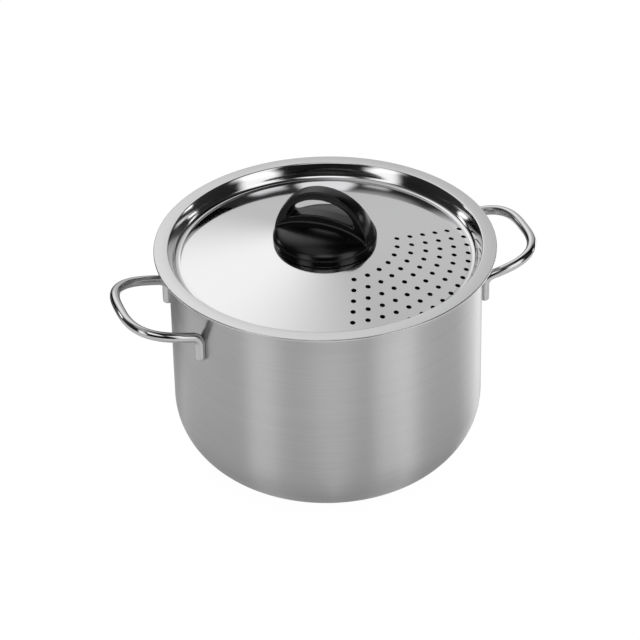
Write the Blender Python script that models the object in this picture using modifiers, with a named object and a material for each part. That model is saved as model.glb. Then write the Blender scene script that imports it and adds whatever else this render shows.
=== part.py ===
# Pasta pot with a strainer lid, 24 cm: metres, +Z up, the origin under the pot on the floor.
# The two rod handles lie along X. The lid is drawn down into the pot's mouth, so that a gutter
# runs round inside its flat flange, and its plate rises from the gutter to the knob's flat seat.

import math

import bmesh
import bpy
from mathutils import Matrix

# Pot shell, drawn from sheet steel
WALL_RADIUS = 0.121
SHELL_SHEET = 0.0009
RIM_HEIGHT = 0.1845
RIM_FLARE = 0.007
CORNER_RADIUS = 0.055
CORNER_DEPTH = 0.0545
CORNER_START = 0.0545
FLAT_BLEND = 0.004

# Base: an aluminium core in a steel cap, bonded under the shell
BASE_RADIUS = 0.080
BASE_HEIGHT = 0.0048
CAP_SHEET = 0.0006
CAP_EDGE_ROUND = 0.0012

# Lid, pressed from sheet steel
LID_SHEET = 0.0009
MOUTH_PLAY = 0.0002
MOUTH_ROUND = 0.0013
FLANGE_WIDTH = 0.0108
FLANGE_TURN_DOWN = 0.0018
FLANGE_ROUND = 0.0011
WELL_SLOPE_DEG = 65.0
GUTTER_DEPTH = 0.0112
GUTTER_ROUND = 0.0032
SEAT_RISE = 0.0022
SEAT_RADIUS = 0.044
DOME_FULLNESS = 0.9

# Strainer: rings of round holes in one sector of the plate
HOLE_DIAMETER = 0.0036
FIRST_RING_RADIUS = 0.0556
RING_STEP = 0.0109
HOLE_PITCH = 0.0118
RING_COUNT = 6
FIRST_RING_HOLES = 7
HOLES_MORE_PER_RING = 2
SECTOR_DEG = -50.0

# Handles, bent from round rod and welded on
ROD_DIAMETER = 0.0077
LEG_INSET = 0.0017
LEG_SPACING = 0.0848
LEG_DROP = 0.0370
LEG_LENGTH = 0.0140
LEG_BEND = 0.0075
LEG_END_CHAMFER = 0.0009
HANDLE_DEPTH = 0.0445
HANDLE_RISE_DEG = 11.5
LOOP_SQUARENESS = 2.9
LOOP_POINTS = 25

# Knob, moulded in black plastic
KNOB_RADIUS = 0.040
KNOB_TURN_DEG = -41.0
SKIRT_HEIGHT = 0.0070
SKIRT_EDGE_ROUND = 0.0012
CROWN_HEIGHT = 0.0112
GRIP_HEIGHT = 0.0463
GRIP_WAIST = 0.0110
GRIP_FOOT_WIDTH = 0.0200
GRIP_INSET = 0.0006
WINDOW_LENGTH = 0.0540
WINDOW_TOP = 0.0389
SILL_HEIGHT = 0.0250
SILL_CROWN = 0.0045
KNOB_WALL = 0.0032
BOSS_RADIUS = 0.0085

# Knob fixing: a moulded-in insert, and a screw with a washer from below
INSERT_RADIUS = 0.0044
INSERT_LENGTH = 0.0130
INSERT_GROOVE_WIDTH = 0.0032
INSERT_GROOVE_DEPTH = 0.0005
SCREW_RADIUS = 0.0020
SCREW_LENGTH = 0.0135
SCREW_HEAD_RADIUS = 0.0042
SCREW_HEAD_HEIGHT = 0.0024
SCREW_HEAD_RIM = 0.0008
SCREW_POINT = 0.0008
RECESS_WIDTH = 0.0011
RECESS_LENGTH = 0.0046
RECESS_DEPTH = 0.0014
WASHER_RADIUS = 0.0060
WASHER_SHEET = 0.0008

# Gaps between pieces that touch, and the play round the screw
SEAT_GAP = 0.0003
SCREW_PLAY = 0.0003

# Fineness of the round shapes
TURN_STEPS = 48
KNOB_STEPS = 40
SMALL_STEPS = 16
HOLE_SIDES = 8
OUTLINE_STEPS = 8
CUT_OVERRUN = 0.001

PART_COLLECTION = "pasta_pot"
CUTTER_COLLECTION = "cutters"

shell_bottom = BASE_HEIGHT
flange_top = RIM_HEIGHT + SEAT_GAP + LID_SHEET
gutter_height = flange_top - GUTTER_DEPTH
seat_height = flange_top + SEAT_RISE
seat_underside = seat_height - LID_SHEET
mouth_radius = WALL_RADIUS + MOUTH_PLAY
flange_radius = mouth_radius + FLANGE_WIDTH
leg_top = RIM_HEIGHT - LEG_DROP
leg_bottom = leg_top - LEG_LENGTH
handle_reach = WALL_RADIUS + HANDLE_DEPTH
knob_base = seat_height + SEAT_GAP
screw_hole_radius = SCREW_RADIUS + SCREW_PLAY
washer_top = seat_underside - SEAT_GAP
screw_seat = washer_top - WASHER_SHEET - SEAT_GAP
welded_radius = WALL_RADIUS + SEAT_GAP


def clear_scene():
    for obj in list(bpy.data.objects):
        bpy.data.objects.remove(obj, do_unlink=True)


def new_collection(name):
    made = bpy.data.collections.new(name)
    bpy.context.scene.collection.children.link(made)
    return made


def metal(name, shade, roughness):
    return material(name, (shade, shade, shade), roughness, 1.0)


def material(name, colour, roughness, metallic):
    made = bpy.data.materials.new(name)
    made.use_nodes = True
    shader = made.node_tree.nodes["Principled BSDF"]
    shader.inputs["Base Color"].default_value = (*colour, 1.0)
    shader.inputs["Roughness"].default_value = roughness
    shader.inputs["Metallic"].default_value = metallic
    return made


def finish(obj, finish_material, sharp_deg=35.0):
    obj.data.materials.clear()
    obj.data.materials.append(finish_material)
    obj.data.shade_smooth()
    obj.data.set_sharp_from_angle(angle=math.radians(sharp_deg))
    return obj


def as_cutter(obj):
    obj.hide_render = True
    obj.display_type = "WIRE"
    return obj


def arc(centre, radius, start_deg, end_deg, steps):
    """Points (r, z) along a round or, with two radii, an elliptical arc."""
    across, up = radius if isinstance(radius, tuple) else (radius, radius)
    points = []
    for i in range(steps + 1):
        angle = math.radians(start_deg + (end_deg - start_deg) * i / steps)
        points.append((centre[0] + across * math.cos(angle), centre[1] + up * math.sin(angle)))
    return points


def turned(name, profile, collection, steps, closed=False):
    """Turns a profile of (r, z) points round Z. It runs down its outer side, top to bottom."""
    mesh = bpy.data.meshes.new(name)
    edges = [(i, i + 1) for i in range(len(profile) - 1)]
    if closed:
        edges.append((len(profile) - 1, 0))
    mesh.from_pydata([(r, 0.0, z) for r, z in profile], edges, [])
    obj = bpy.data.objects.new(name, mesh)
    collection.objects.link(obj)
    screw = obj.modifiers.new("turn", "SCREW")
    screw.steps = steps
    screw.render_steps = steps
    screw.use_merge_vertices = True
    screw.merge_threshold = 0.00001
    return obj


def thicken(obj, sheet):
    solidify = obj.modifiers.new("sheet", "SOLIDIFY")
    solidify.thickness = sheet
    solidify.offset = -1.0
    solidify.use_even_offset = True
    return obj


def boolean(obj, other, operation):
    modifier = obj.modifiers.new(other.name, "BOOLEAN")
    modifier.operation = operation
    modifier.object = other
    modifier.solver = "EXACT"


def applied(obj):
    """Replaces an object's modifiers by the mesh that they make."""
    graph = bpy.context.evaluated_depsgraph_get()
    mesh = bpy.data.meshes.new_from_object(obj.evaluated_get(graph))
    edit = bmesh.new()
    edit.from_mesh(mesh)
    bmesh.ops.remove_doubles(edit, verts=edit.verts, dist=0.000001)
    edit.to_mesh(mesh)
    edit.free()
    mesh.name = obj.name
    name, collection, place = obj.name, obj.users_collection[0], obj.matrix_world.copy()
    bpy.data.objects.remove(obj, do_unlink=True)
    made = bpy.data.objects.new(name, mesh)
    made.matrix_world = place
    collection.objects.link(made)
    return made


def pot_body(parts, steel):
    """Straight wall, flared rim and deep round corner, all one drawn sheet."""
    flare_centre = (WALL_RADIUS + RIM_FLARE, RIM_HEIGHT - SHELL_SHEET - RIM_FLARE)
    profile = arc(flare_centre, RIM_FLARE, 90.0, 180.0, 5)
    corner_centre = (WALL_RADIUS - CORNER_RADIUS, CORNER_START)
    corner = arc(corner_centre, (CORNER_RADIUS, CORNER_DEPTH), 0.0, -90.0, 16)
    profile += [(r, z) for r, z in corner if z > shell_bottom + FLAT_BLEND / 4]
    flat_start = profile[-1][0] - FLAT_BLEND
    profile += [(flat_start, shell_bottom), (flat_start / 2, shell_bottom), (0.0, shell_bottom)]
    body = turned("pot_body", profile, parts, TURN_STEPS)
    thicken(body, SHELL_SHEET)
    return finish(body, steel)


def base_core(parts, aluminium):
    radius = BASE_RADIUS - CAP_SHEET - SEAT_GAP
    low, high = CAP_SHEET + SEAT_GAP, shell_bottom - SEAT_GAP
    profile = [(0.0, high), (radius, high), (radius, low), (0.0, low)]
    return finish(turned("base_core", profile, parts, TURN_STEPS), aluminium)


def base_cap(parts, steel):
    """A shallow steel dish that closes the core in."""
    edge_centre = (BASE_RADIUS - CAP_EDGE_ROUND, CAP_EDGE_ROUND)
    edge = arc(edge_centre, CAP_EDGE_ROUND, 0.0, -90.0, 2)
    profile = [(BASE_RADIUS, shell_bottom - SEAT_GAP)] + edge + [(0.0, 0.0)]
    cap = turned("base_cap", profile, parts, TURN_STEPS)
    thicken(cap, CAP_SHEET)
    return finish(cap, steel)


def plate_height(radius, gutter_radius):
    """Height of the plate, which falls from the knob's seat to the gutter in one smooth wave."""
    share = (radius - SEAT_RADIUS) / (gutter_radius - SEAT_RADIUS)
    wave = 0.5 + 0.5 * math.cos(math.pi * min(max(share, 0.0), 1.0))
    return gutter_height + (seat_height - gutter_height) * wave**DOME_FULLNESS


def lid_profile():
    """The lid's upper side, from the screw hole out to the turned-down edge of the flange."""
    slope = math.radians(WELL_SLOPE_DEG)
    mouth_centre = (mouth_radius + MOUTH_ROUND * math.tan(slope / 2), flange_top - MOUTH_ROUND)
    wall_top = (
        mouth_centre[0] - MOUTH_ROUND * math.sin(slope),
        mouth_centre[1] + MOUTH_ROUND * math.cos(slope),
    )
    gutter_centre_height = gutter_height + GUTTER_ROUND
    wall_foot_height = gutter_centre_height - GUTTER_ROUND * math.cos(slope)
    wall_foot = wall_top[0] - (wall_top[1] - wall_foot_height) / math.tan(slope)
    gutter_radius = wall_foot - GUTTER_ROUND * math.sin(slope)

    profile = [(screw_hole_radius, seat_height)]
    plate_steps = 9
    for i in range(plate_steps):
        radius = SEAT_RADIUS + (gutter_radius - SEAT_RADIUS) * i / plate_steps
        profile.append((radius, plate_height(radius, gutter_radius)))
    profile += arc(
        (gutter_radius, gutter_centre_height), GUTTER_ROUND, -90.0, WELL_SLOPE_DEG - 90.0, 4
    )
    profile += arc(mouth_centre, MOUTH_ROUND, 90.0 + WELL_SLOPE_DEG, 90.0, 3)
    profile += arc(
        (flange_radius - FLANGE_ROUND, flange_top - FLANGE_ROUND), FLANGE_ROUND, 90.0, 0.0, 3
    )
    profile.append((flange_radius, flange_top - FLANGE_TURN_DOWN))
    return profile


def strainer_holes(cutters):
    """One cutter with all the holes, in rings about the lid's middle."""
    low, high = gutter_height - LID_SHEET - CUT_OVERRUN, seat_height + CUT_OVERRUN
    edit = bmesh.new()
    for ring in range(RING_COUNT):
        radius = FIRST_RING_RADIUS + RING_STEP * ring
        count = FIRST_RING_HOLES + HOLES_MORE_PER_RING * ring
        for i in range(count):
            angle = math.radians(SECTOR_DEG) + (i - (count - 1) / 2) * HOLE_PITCH / radius
            at = (radius * math.cos(angle), radius * math.sin(angle), (low + high) / 2)
            bmesh.ops.create_cone(
                edit,
                cap_ends=True,
                segments=HOLE_SIDES,
                radius1=HOLE_DIAMETER / 2,
                radius2=HOLE_DIAMETER / 2,
                depth=high - low,
                matrix=Matrix.Translation(at) @ Matrix.Rotation(angle, 4, "Z"),
            )
    mesh = bpy.data.meshes.new("strainer_holes")
    edit.to_mesh(mesh)
    edit.free()
    cutter = bpy.data.objects.new("strainer_holes", mesh)
    cutters.objects.link(cutter)
    return as_cutter(cutter)


def lid_shell(parts, cutters, steel):
    lid = turned("lid_shell", lid_profile(), parts, TURN_STEPS)
    thicken(lid, LID_SHEET)
    boolean(lid, strainer_holes(cutters), "DIFFERENCE")
    return finish(lid, steel)


def handle_route():
    """Points along the rod's middle, as (out, across, up), from one leg's foot to the other's."""
    across = LEG_SPACING / 2
    leg_radius = WALL_RADIUS - LEG_INSET + ROD_DIAMETER / 2
    out = math.sqrt(leg_radius**2 - across**2)
    rise = math.radians(HANDLE_RISE_DEG)
    bend = []
    bend_steps = 6
    for i in range(bend_steps + 1):
        turn = (math.pi / 2 - rise) * i / bend_steps
        bend.append(
            (out + LEG_BEND * (1 - math.cos(turn)), across, leg_top + LEG_BEND * math.sin(turn))
        )
    foot = [(out, across, leg_bottom), (out, across, leg_bottom + LEG_END_CHAMFER)]
    start = bend[-1]
    reach = (handle_reach - start[0]) / math.cos(rise)
    loop = []
    for i in range(1, LOOP_POINTS - 1):
        angle = math.pi * i / (LOOP_POINTS - 1)
        along = reach * math.sin(angle) ** (2 / LOOP_SQUARENESS)
        side = across * math.copysign(
            abs(math.cos(angle)) ** (2 / LOOP_SQUARENESS), math.cos(angle)
        )
        loop.append((start[0] + along * math.cos(rise), side, start[2] + along * math.sin(rise)))
    near = foot + bend
    far = [(o, -a, u) for o, a, u in reversed(near)]
    return near + loop + far


def wall_cutter(cutters):
    """The space inside the wall's outer face, with the seat gap, that trims the handles' legs."""
    low, high = shell_bottom, RIM_HEIGHT
    profile = [(0.0, high), (welded_radius, high), (welded_radius, low), (0.0, low)]
    return as_cutter(turned("wall_cutter", profile, cutters, TURN_STEPS))


def handle(name, side, cutter, parts, steel):
    """One rod handle; side is 1 at +X and -1 at -X. Its legs are flat where they meet the wall."""
    curve = bpy.data.curves.new(name, "CURVE")
    curve.dimensions = "3D"
    curve.bevel_depth = ROD_DIAMETER / 2
    curve.bevel_resolution = 4
    curve.use_fill_caps = True
    route = handle_route()
    spline = curve.splines.new("POLY")
    spline.points.add(len(route) - 1)
    for point, (out, across, up) in zip(spline.points, route):
        point.co = (side * out, side * across, up, 1.0)
    for end in (0, -1):
        spline.points[end].radius = 1.0 - LEG_END_CHAMFER / (ROD_DIAMETER / 2)
    rod = applied(link_new(name, curve, parts))
    boolean(rod, cutter, "DIFFERENCE")
    return finish(rod, steel)


def link_new(name, data, collection):
    obj = bpy.data.objects.new(name, data)
    collection.objects.link(obj)
    bpy.context.view_layer.update()
    return obj


def knob_frame():
    return Matrix.Translation((0.0, 0.0, knob_base)) @ Matrix.Rotation(
        math.radians(KNOB_TURN_DEG), 4, "Z"
    )


def outline_cutter(name, outline, half_depth, cutters):
    """A flat outline in X and Y, drawn out to both sides along Z."""
    curve = bpy.data.curves.new(name, "CURVE")
    curve.dimensions = "2D"
    curve.fill_mode = "BOTH"
    curve.extrude = half_depth
    spline = curve.splines.new("POLY")
    spline.points.add(len(outline) - 1)
    for point, (x, y) in zip(spline.points, outline):
        point.co = (x, y, 0.0, 1.0)
    spline.use_cyclic_u = True
    return as_cutter(applied(link_new(name, curve, cutters)))


def bowed_line(half_length, middle, end_change):
    """Points (x, y) from -X to +X whose height changes from the middle's towards both ends."""
    points = []
    for i in range(OUTLINE_STEPS + 1):
        share = 2 * i / OUTLINE_STEPS - 1
        points.append((half_length * share, middle + end_change * share**2))
    return points


def grip_web(cutters):
    """The upright web that the grip is cut from: narrow in the middle, wide at both feet."""
    side = bowed_line(KNOB_RADIUS, GRIP_WAIST / 2, (GRIP_FOOT_WIDTH - GRIP_WAIST) / 2)
    outline = side + [(-along, -across) for along, across in side]
    return outline_cutter("grip_web", outline, GRIP_HEIGHT + CUT_OVERRUN, cutters)


def grip_arch(cutters):
    """The half ball that the fingers hold, cut to a web."""
    radius = KNOB_RADIUS - GRIP_INSET
    foot = SKIRT_HEIGHT / 2
    profile = arc((0.0, foot), (radius, GRIP_HEIGHT - foot), 90.0, 0.0, 12)
    profile.append((0.0, foot))
    ball = turned("grip_arch", profile, cutters, KNOB_STEPS)
    boolean(ball, grip_web(cutters), "INTERSECT")
    return as_cutter(ball)


def grip_window(cutters):
    """The half oval that the fingers pass through, over a crowned sill."""
    half_length = WINDOW_LENGTH / 2
    sill_end = SILL_HEIGHT - SILL_CROWN
    top = arc((0.0, sill_end), (half_length, WINDOW_TOP - sill_end), 0.0, 180.0, 16)
    sill = bowed_line(half_length, SILL_HEIGHT, -SILL_CROWN)
    cutter = outline_cutter("grip_window", top + sill[1:-1], KNOB_RADIUS, cutters)
    cutter.data.transform(Matrix.Rotation(math.pi / 2, 4, "X"))
    return cutter


def knob_hollow(cutters):
    """The hollow in the knob's underside, round the boss that holds the insert."""
    inner = KNOB_RADIUS - KNOB_WALL
    crown = SKIRT_HEIGHT + CROWN_HEIGHT - KNOB_WALL
    profile = [
        (BOSS_RADIUS, crown),
        (inner / 2, crown - KNOB_WALL / 2),
        (inner, SKIRT_HEIGHT - KNOB_WALL),
        (inner, -CUT_OVERRUN),
        (BOSS_RADIUS, -CUT_OVERRUN),
    ]
    return as_cutter(turned("knob_hollow", profile, cutters, KNOB_STEPS, closed=True))


def insert_hole(cutters):
    radius, top = INSERT_RADIUS + SEAT_GAP, INSERT_LENGTH + 2 * SEAT_GAP
    profile = [(0.0, top), (radius, top), (radius, -CUT_OVERRUN), (0.0, -CUT_OVERRUN)]
    return as_cutter(turned("insert_hole", profile, cutters, SMALL_STEPS))


def knob(parts, cutters, plastic):
    """A low crowned base with an arched grip over it, in one moulding."""
    crown_radius = KNOB_RADIUS - SKIRT_EDGE_ROUND
    profile = arc((0.0, SKIRT_HEIGHT), (crown_radius, CROWN_HEIGHT), 90.0, 20.0, 8)
    profile += [(KNOB_RADIUS, SKIRT_HEIGHT - SKIRT_EDGE_ROUND), (KNOB_RADIUS, 0.0), (0.0, 0.0)]
    body = turned("knob", profile, parts, KNOB_STEPS)
    boolean(body, grip_arch(cutters), "UNION")
    boolean(body, grip_window(cutters), "DIFFERENCE")
    boolean(body, knob_hollow(cutters), "DIFFERENCE")
    boolean(body, insert_hole(cutters), "DIFFERENCE")
    body = applied(body)
    body.matrix_world = knob_frame()
    return finish(body, plastic)


def knob_insert(parts, brass):
    low, high = SEAT_GAP, INSERT_LENGTH
    middle = (low + high) / 2
    waist = INSERT_RADIUS - INSERT_GROOVE_DEPTH
    groove = INSERT_GROOVE_WIDTH / 2
    slope = INSERT_GROOVE_DEPTH
    profile = [
        (screw_hole_radius, high),
        (INSERT_RADIUS, high),
        (INSERT_RADIUS, middle + groove + slope),
        (waist, middle + groove),
        (waist, middle - groove),
        (INSERT_RADIUS, middle - groove - slope),
        (INSERT_RADIUS, low),
        (screw_hole_radius, low),
    ]
    insert = turned("knob_insert", profile, parts, SMALL_STEPS, closed=True)
    insert.location.z = knob_base
    return finish(insert, brass)


def knob_washer(parts, steel):
    low, high = washer_top - WASHER_SHEET, washer_top
    profile = [
        (screw_hole_radius, high),
        (WASHER_RADIUS, high),
        (WASHER_RADIUS, low),
        (screw_hole_radius, low),
    ]
    return finish(turned("knob_washer", profile, parts, SMALL_STEPS, closed=True), steel)


def recess_slot(cutters, turn):
    """One of the two crossing slots in the screw's head."""
    bottom = screw_seat - SCREW_HEAD_HEIGHT
    size = Matrix.Diagonal((RECESS_LENGTH, RECESS_WIDTH, 2 * RECESS_DEPTH, 1.0))
    place = Matrix.Translation((0.0, 0.0, bottom)) @ Matrix.Rotation(turn, 4, "Z")
    edit = bmesh.new()
    bmesh.ops.create_cube(edit, size=1.0, matrix=place @ size)
    mesh = bpy.data.meshes.new("recess_slot")
    edit.to_mesh(mesh)
    edit.free()
    return as_cutter(link_new("recess_slot", mesh, cutters))


def knob_screw(parts, cutters, steel):
    """Button-headed screw, put in from under the lid."""
    top = screw_seat + SCREW_LENGTH
    low = screw_seat - SCREW_HEAD_HEIGHT
    crown = (SCREW_HEAD_RADIUS, SCREW_HEAD_HEIGHT - SCREW_HEAD_RIM)
    head = arc((0.0, screw_seat - SCREW_HEAD_RIM), crown, 0.0, -60.0, 4)
    profile = [(0.0, top), (SCREW_RADIUS - SCREW_POINT, top), (SCREW_RADIUS, top - SCREW_POINT)]
    profile += [(SCREW_RADIUS, screw_seat), (SCREW_HEAD_RADIUS, screw_seat)]
    profile += head + [(0.0, low)]
    screw = turned("knob_screw", profile, parts, SMALL_STEPS)
    for turn in (0.0, math.pi / 2):
        boolean(screw, recess_slot(cutters, turn), "DIFFERENCE")
    return finish(screw, steel)


def build():
    clear_scene()
    parts = new_collection(PART_COLLECTION)
    cutters = new_collection(CUTTER_COLLECTION)

    pot_body(parts, metal("brushed_steel_shell", 0.60, 0.34))
    base_core(parts, metal("aluminium_core", 0.72, 0.45))
    base_cap(parts, metal("brushed_steel_base", 0.58, 0.38))
    rod_cutter = wall_cutter(cutters)
    for name, side in (("handle_left", -1), ("handle_right", 1)):
        handle(name, side, rod_cutter, parts, metal("polished_steel_" + name, 0.75, 0.08))
    lid_shell(parts, cutters, metal("polished_steel_lid", 0.75, 0.14))
    knob(parts, cutters, material("black_plastic_knob", (0.012, 0.012, 0.013), 0.28, 0.0))
    knob_insert(parts, material("brass_insert", (0.60, 0.42, 0.16), 0.35, 1.0))
    knob_washer(parts, metal("zinc_steel_washer", 0.62, 0.35))
    knob_screw(parts, cutters, metal("zinc_steel_screw", 0.62, 0.30))


build()
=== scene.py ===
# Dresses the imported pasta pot: fine meshes, real finishes, a pale studio and the camera.
# Metres, +Z up. The handles lie along X and the pot stands on the floor at zero.

import math

import bpy
from mathutils import Matrix, Vector


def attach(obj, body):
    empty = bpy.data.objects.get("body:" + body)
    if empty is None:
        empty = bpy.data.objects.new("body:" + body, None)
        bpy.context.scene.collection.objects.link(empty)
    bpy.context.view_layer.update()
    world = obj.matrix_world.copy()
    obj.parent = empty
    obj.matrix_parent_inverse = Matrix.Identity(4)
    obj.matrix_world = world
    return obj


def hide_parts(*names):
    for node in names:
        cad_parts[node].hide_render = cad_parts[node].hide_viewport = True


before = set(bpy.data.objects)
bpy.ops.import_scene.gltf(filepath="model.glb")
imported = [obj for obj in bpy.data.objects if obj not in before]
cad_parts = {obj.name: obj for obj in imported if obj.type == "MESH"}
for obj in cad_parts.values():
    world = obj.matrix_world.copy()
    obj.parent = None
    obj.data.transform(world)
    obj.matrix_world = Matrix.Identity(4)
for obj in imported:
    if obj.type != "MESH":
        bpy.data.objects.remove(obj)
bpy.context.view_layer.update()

meshing = {
    "seedPlane": 0.001,  # merged to the one point that a line is drawn from
    "mergeDistance": 0.000002,
    "smoothDeg": 35.0,  # edges that bend more than this stay sharp
    "sharpestCosine": 0.5,  # keeps a sheet's inner side from running away at a sharp bend
}


def deselectAll():
    if bpy.context.object and bpy.context.object.mode != "OBJECT":
        bpy.ops.object.mode_set(mode="OBJECT")
    bpy.ops.object.select_all(action="DESELECT")


def makeActive(piece):
    deselectAll()
    piece.select_set(True)
    bpy.context.view_layer.objects.active = piece


def modify(piece, kind, **settings):
    # Adds a modifier with its settings and applies it at once.
    modifier = piece.modifiers.new(kind.lower(), kind)
    for name, value in settings.items():
        setattr(modifier, name, value)
    makeActive(piece)
    bpy.ops.object.modifier_apply(modifier=modifier.name)


def cutBy(piece, cutter, operation="DIFFERENCE"):
    modify(piece, "BOOLEAN", object=cutter, operation=operation, solver="EXACT")
    bpy.data.objects.remove(cutter, do_unlink=True)


def arc(centre, radii, startDeg, endDeg, steps):
    # Points (radius, height) along a round or oval arc.
    points = []
    for i in range(steps + 1):
        angle = math.radians(startDeg + (endDeg - startDeg) * i / steps)
        across, up = radii[0] * math.cos(angle), radii[1] * math.sin(angle)
        points.append((centre[0] + across, centre[1] + up))
    return points


def drawLine(name, points):
    # A plane is merged to one vertex, which is drawn out through the points.
    deselectAll()
    bpy.ops.mesh.primitive_plane_add(size=meshing["seedPlane"])
    piece = bpy.context.object
    piece.name = piece.data.name = name
    bpy.ops.object.mode_set(mode="EDIT")
    bpy.ops.mesh.merge(type="CENTER")
    bpy.ops.transform.translate(value=points[0])
    for before, after in zip(points, points[1:]):
        step = Vector(after) - Vector(before)
        bpy.ops.mesh.extrude_region_move(TRANSFORM_OT_translate={"value": step})
    bpy.ops.mesh.select_all(action="SELECT")
    return piece


def closeUp():
    # Merges what meets, turns the faces outwards and leaves edit mode.
    bpy.ops.mesh.select_all(action="SELECT")
    bpy.ops.mesh.remove_doubles(threshold=meshing["mergeDistance"])
    bpy.ops.mesh.normals_make_consistent(inside=False)
    bpy.ops.object.mode_set(mode="OBJECT")


def turnPiece(name, profile, steps):
    # Spins a profile of (radius, height) points round Z.
    piece = drawLine(name, [(r, 0.0, z) for r, z in profile])
    bpy.ops.mesh.spin(steps=steps, angle=2 * math.pi, center=(0, 0, 0), axis=(0, 0, 1))
    closeUp()
    return piece


def drawBlock(name, outline, depth):
    # A flat outline in X and Z is filled and pulled out along Y, half to each side.
    piece = drawLine(name, [(x, -depth / 2, z) for x, z in outline])
    bpy.ops.mesh.edge_face_add()
    bpy.ops.mesh.extrude_region_move(TRANSFORM_OT_translate={"value": (0, depth, 0)})
    closeUp()
    return piece


def roundTip(before, start, end):
    # The half round between the two sides of a sheet's free edge.
    middle = (start + end) / 2
    side = start - middle
    out = (start - before).normalized() * side.length
    points = []
    for angle in (math.pi / 4, math.pi / 2, 3 * math.pi / 4):
        points.append(middle + side * math.cos(angle) + out * math.sin(angle))
    return points


def sheetProfile(line, sheet, roundStart=False, roundEnd=False):
    # Closes a line of a sheet's outer side with its inner side, a sheet's thickness to the left.
    points = [Vector(p) for p in line]
    inner = []
    for i, point in enumerate(points):
        before = points[max(i - 1, 0)]
        after = points[min(i + 1, len(points) - 1)]
        ins, outs = (point - before), (after - point)
        ins = ins.normalized() if ins.length else outs.normalized()
        outs = outs.normalized() if outs.length else ins
        along = (ins + outs).normalized()
        left = Vector((-along.y, along.x))
        inner.append(point + left * sheet / max(along.dot(ins), meshing["sharpestCosine"]))
    loop = list(points)
    if roundEnd:
        loop += roundTip(points[-2], points[-1], inner[-1])
    loop += list(reversed(inner))
    if roundStart:
        loop += roundTip(inner[1], inner[0], points[0])
    loop.append(points[0])
    return [tuple(p) for p in loop]


def finishPiece(piece, body, node, smoothDeg=meshing["smoothDeg"]):
    # Smooth shading, and the piece rides, stands for its node and takes its slot.
    makeActive(piece)
    bpy.ops.object.shade_smooth_by_angle(angle=math.radians(smoothDeg))
    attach(piece, body)
    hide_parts(node)
    print("made", piece.name, len(piece.data.polygons), "faces")


potSizes = {
    "wallRadius": 0.121,
    "wallSteps": 8,
    "sheet": 0.0009,
    "rimHeight": 0.1845,
    "rimFlare": 0.007,
    "rimSteps": 12,
    "cornerRadius": 0.055,
    "cornerDepth": 0.0545,
    "cornerStart": 0.0545,
    "cornerSteps": 48,
    "cornerLow": 0.001,  # the corner ends this far above the bottom
    "cornerRunOut": 0.004,  # and runs out into it over this length
    "bottomHeight": 0.0048,
    "bottomRings": (0.06, 0.04, 0.02, 0.0),
    "baseRadius": 0.080,
    "capSheet": 0.0006,
    "capEdgeRound": 0.0012,
    "capEdgeSteps": 8,
    "capRings": (0.07, 0.05, 0.03, 0.0),
    "gap": 0.0003,
    "turnSteps": 160,
}


def makePotShell(sizes):
    wallRadius, flare, bottom = sizes["wallRadius"], sizes["rimFlare"], sizes["bottomHeight"]
    flareHeight = sizes["rimHeight"] - sizes["sheet"] - flare
    line = arc((wallRadius + flare, flareHeight), (flare, flare), 90, 180, sizes["rimSteps"])
    for i in range(1, sizes["wallSteps"]):
        drop = (sizes["cornerStart"] - flareHeight) * i / sizes["wallSteps"]
        line.append((wallRadius, flareHeight + drop))
    cornerMiddle = (wallRadius - sizes["cornerRadius"], sizes["cornerStart"])
    cornerRadii = (sizes["cornerRadius"], sizes["cornerDepth"])
    corner = arc(cornerMiddle, cornerRadii, 0, -90, sizes["cornerSteps"])
    line += [point for point in corner if point[1] > bottom + sizes["cornerLow"]]
    line.append((line[-1][0] - sizes["cornerRunOut"], bottom))
    line += [(ring, bottom) for ring in sizes["bottomRings"]]
    profile = sheetProfile(line, -sizes["sheet"], roundStart=True)
    return turnPiece("potShell", profile, sizes["turnSteps"])


def makeBaseCap(sizes):
    radius, edge = sizes["baseRadius"], sizes["capEdgeRound"]
    top = sizes["bottomHeight"] - sizes["gap"]
    line = [(radius, top), (radius, (top + edge) / 2)]
    line += arc((radius - edge, edge), (edge, edge), 0, -90, sizes["capEdgeSteps"])
    line += [(ring, 0.0) for ring in sizes["capRings"]]
    return turnPiece("baseCap", sheetProfile(line, -sizes["capSheet"]), sizes["turnSteps"])


lidSizes = {
    "sheet": 0.0009,
    "flangeTop": 0.1857,
    "flangeRadius": 0.132,
    "flangeTurnDown": 0.0018,
    "flangeFall": 0.0004,  # the flange slopes down outwards by this much
    "flangeRound": 0.0007,
    "mouthRadius": 0.1212,
    "mouthRound": 0.0013,
    "wellTopDeg": 58.0,  # the well's wall is bowed, steeper at its foot
    "wellFootDeg": 70.0,
    "gutterDepth": 0.0112,
    "gutterRound": 0.0042,
    "shoulderDeg": 20.0,  # the gutter's inner side
    "shoulderRound": 0.010,
    "seatRise": 0.0032,
    "seatRadius": 0.035,
    "seatRound": 0.043,
    "seatRing": 0.02,  # a ring of points on the flat seat
    "screwHoleRadius": 0.0023,
    "arcSteps": 8,
    "gutterSteps": 16,
    "coneSteps": 24,
    "turnSteps": 224,
    "holeDiameter": 0.0041,
    "holeSides": 20,
    "firstRingRadius": 0.0556,
    "ringStep": 0.0109,
    "holePitch": 0.0118,
    "ringCount": 6,
    "firstRingHoles": 7,
    "holesMorePerRing": 2,
    "sectorDeg": -50.0,
    "punchBelow": 0.002,  # how far the punches reach past the plate
    "punchAbove": 0.001,
}


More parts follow.
